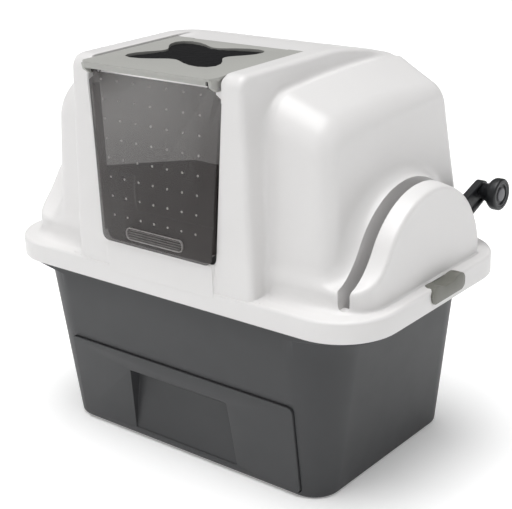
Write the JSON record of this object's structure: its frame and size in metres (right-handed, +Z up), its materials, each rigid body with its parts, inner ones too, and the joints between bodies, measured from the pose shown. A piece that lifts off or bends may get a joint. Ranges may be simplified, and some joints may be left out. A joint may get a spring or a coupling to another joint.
{
  "type": "hooded self-sifting cat litter box",
  "caption": "Hooded cat litter box with a swinging door, a flip-up filter cover, a pull-out waste drawer and a litter pan that a side lever turns over.",
  "frame": {"origin": "on the floor, under the middle of the tub's base", "axes": "+X to the lever's side, +Y to the back, +Z up; the door faces -Y"},
  "size_m": [0.682, 0.4252, 0.5965],
  "materials": {
    "hood_white": "satin moulded plastic",
    "tub_grey": "fine-grained moulded plastic",
    "cover_grey": "satin moulded plastic",
    "latch_grey": "satin moulded plastic",
    "pan_black": "satin moulded plastic",
    "sieve_grey": "satin moulded plastic",
    "smoked_clear": "smoked transparent plastic",
    "filter_felt": "carbon felt",
    "pin_steel": "plain steel wire",
    "cap_grey": "satin moulded plastic"
  },
  "bodies": {
    "housing": {"base_tub": "tub_grey", "drawer_rail_left": "tub_grey", "drawer_rail_right": "tub_grey", "bearing_saddle_left": "tub_grey", "bearing_saddle_right": "tub_grey", "hood_shell": "hood_white"},
    "drawer": {"waste_drawer": "tub_grey", "drawer_bag_frame": "pan_black"},
    "pan": {"litter_pan": "pan_black", "sifter_grid": "sieve_grey", "end_hub_left": "pan_black", "end_hub_right": "pan_black", "lever_arm": "pan_black", "lever_screw": "pin_steel", "knob_axle": "pin_steel"},
    "knob": {"lever_knob": "pan_black", "knob_cap": "cap_grey"},
    "cover": {"top_cover": "cover_grey", "filter_tray": "pan_black", "carbon_filter": "filter_felt", "cover_pin_left": "pin_steel", "cover_pin_right": "pin_steel"},
    "door": {"door_flap": "smoked_clear", "door_pin_left": "pin_steel", "door_pin_right": "pin_steel"},
    "right_latch": {"latch_right": "latch_grey", "latch_pin_right": "pin_steel"},
    "left_latch": {"latch_left": "latch_grey", "latch_pin_left": "pin_steel"}
  },
  "joints": [
    {"name": "pan_turn", "type": "hinge", "parent": "housing", "child": "pan", "pos_m": [0, 0.01, 0.3], "axis": [1, 0, 0], "range_deg": [0, 145]},
    {"name": "knob_spin", "type": "hinge", "parent": "pan", "child": "knob", "pos_m": [0.3, 0.19559, 0.36755], "axis": [1, 0, 0], "continuous": true},
    {"name": "drawer_slide", "type": "slide", "parent": "housing", "child": "drawer", "axis": [0, -1, 0], "range_m": [0, 0.25]},
    {"name": "cover_hinge", "type": "hinge", "parent": "housing", "child": "cover", "pos_m": [0, -0.0045, 0.5895], "axis": [-1, 0, 0], "range_deg": [0, 100]},
    {"name": "door_swing", "type": "hinge", "parent": "cover", "child": "door", "pos_m": [0, -0.188, 0.578], "axis": [-1, 0, 0], "range_deg": [-14, 76]},
    {"name": "right_latch_flip", "type": "hinge", "parent": "housing", "child": "right_latch", "pos_m": [0.3335, 0.01425, 0.273], "axis": [0, 1, 0], "range_deg": [0, 45]},
    {"name": "left_latch_flip", "type": "hinge", "parent": "housing", "child": "left_latch", "pos_m": [-0.3335, 0.01425, 0.273], "axis": [0, -1, 0], "range_deg": [0, 45]}
  ]
}
